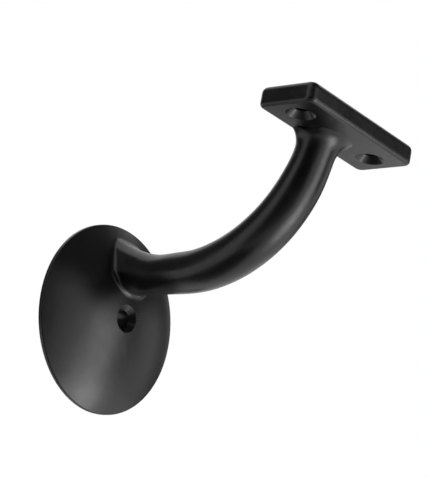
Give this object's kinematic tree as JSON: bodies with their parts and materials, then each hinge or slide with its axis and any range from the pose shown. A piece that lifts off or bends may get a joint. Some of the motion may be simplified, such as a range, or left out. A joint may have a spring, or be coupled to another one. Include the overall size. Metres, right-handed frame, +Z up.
{
  "type": "handrail bracket",
  "caption": "Wall-mounted handrail bracket: domed round rose with one screw hole, curved oval arm and flat oblong saddle plate with two countersunk screw holes.",
  "frame": {"origin": "on the wall plane, on the axis of the wall screw, at the centre of the rose's back", "axes": "+Z up, +X along the handrail, -Y straight out from the wall"},
  "size_m": [0.065, 0.0968, 0.0988],
  "materials": {
    "black_coating": "satin black powder coat on a casting"
  },
  "bodies": {
    "root": {"bracket_casting": "black_coating"}
  },
  "joints": []
}
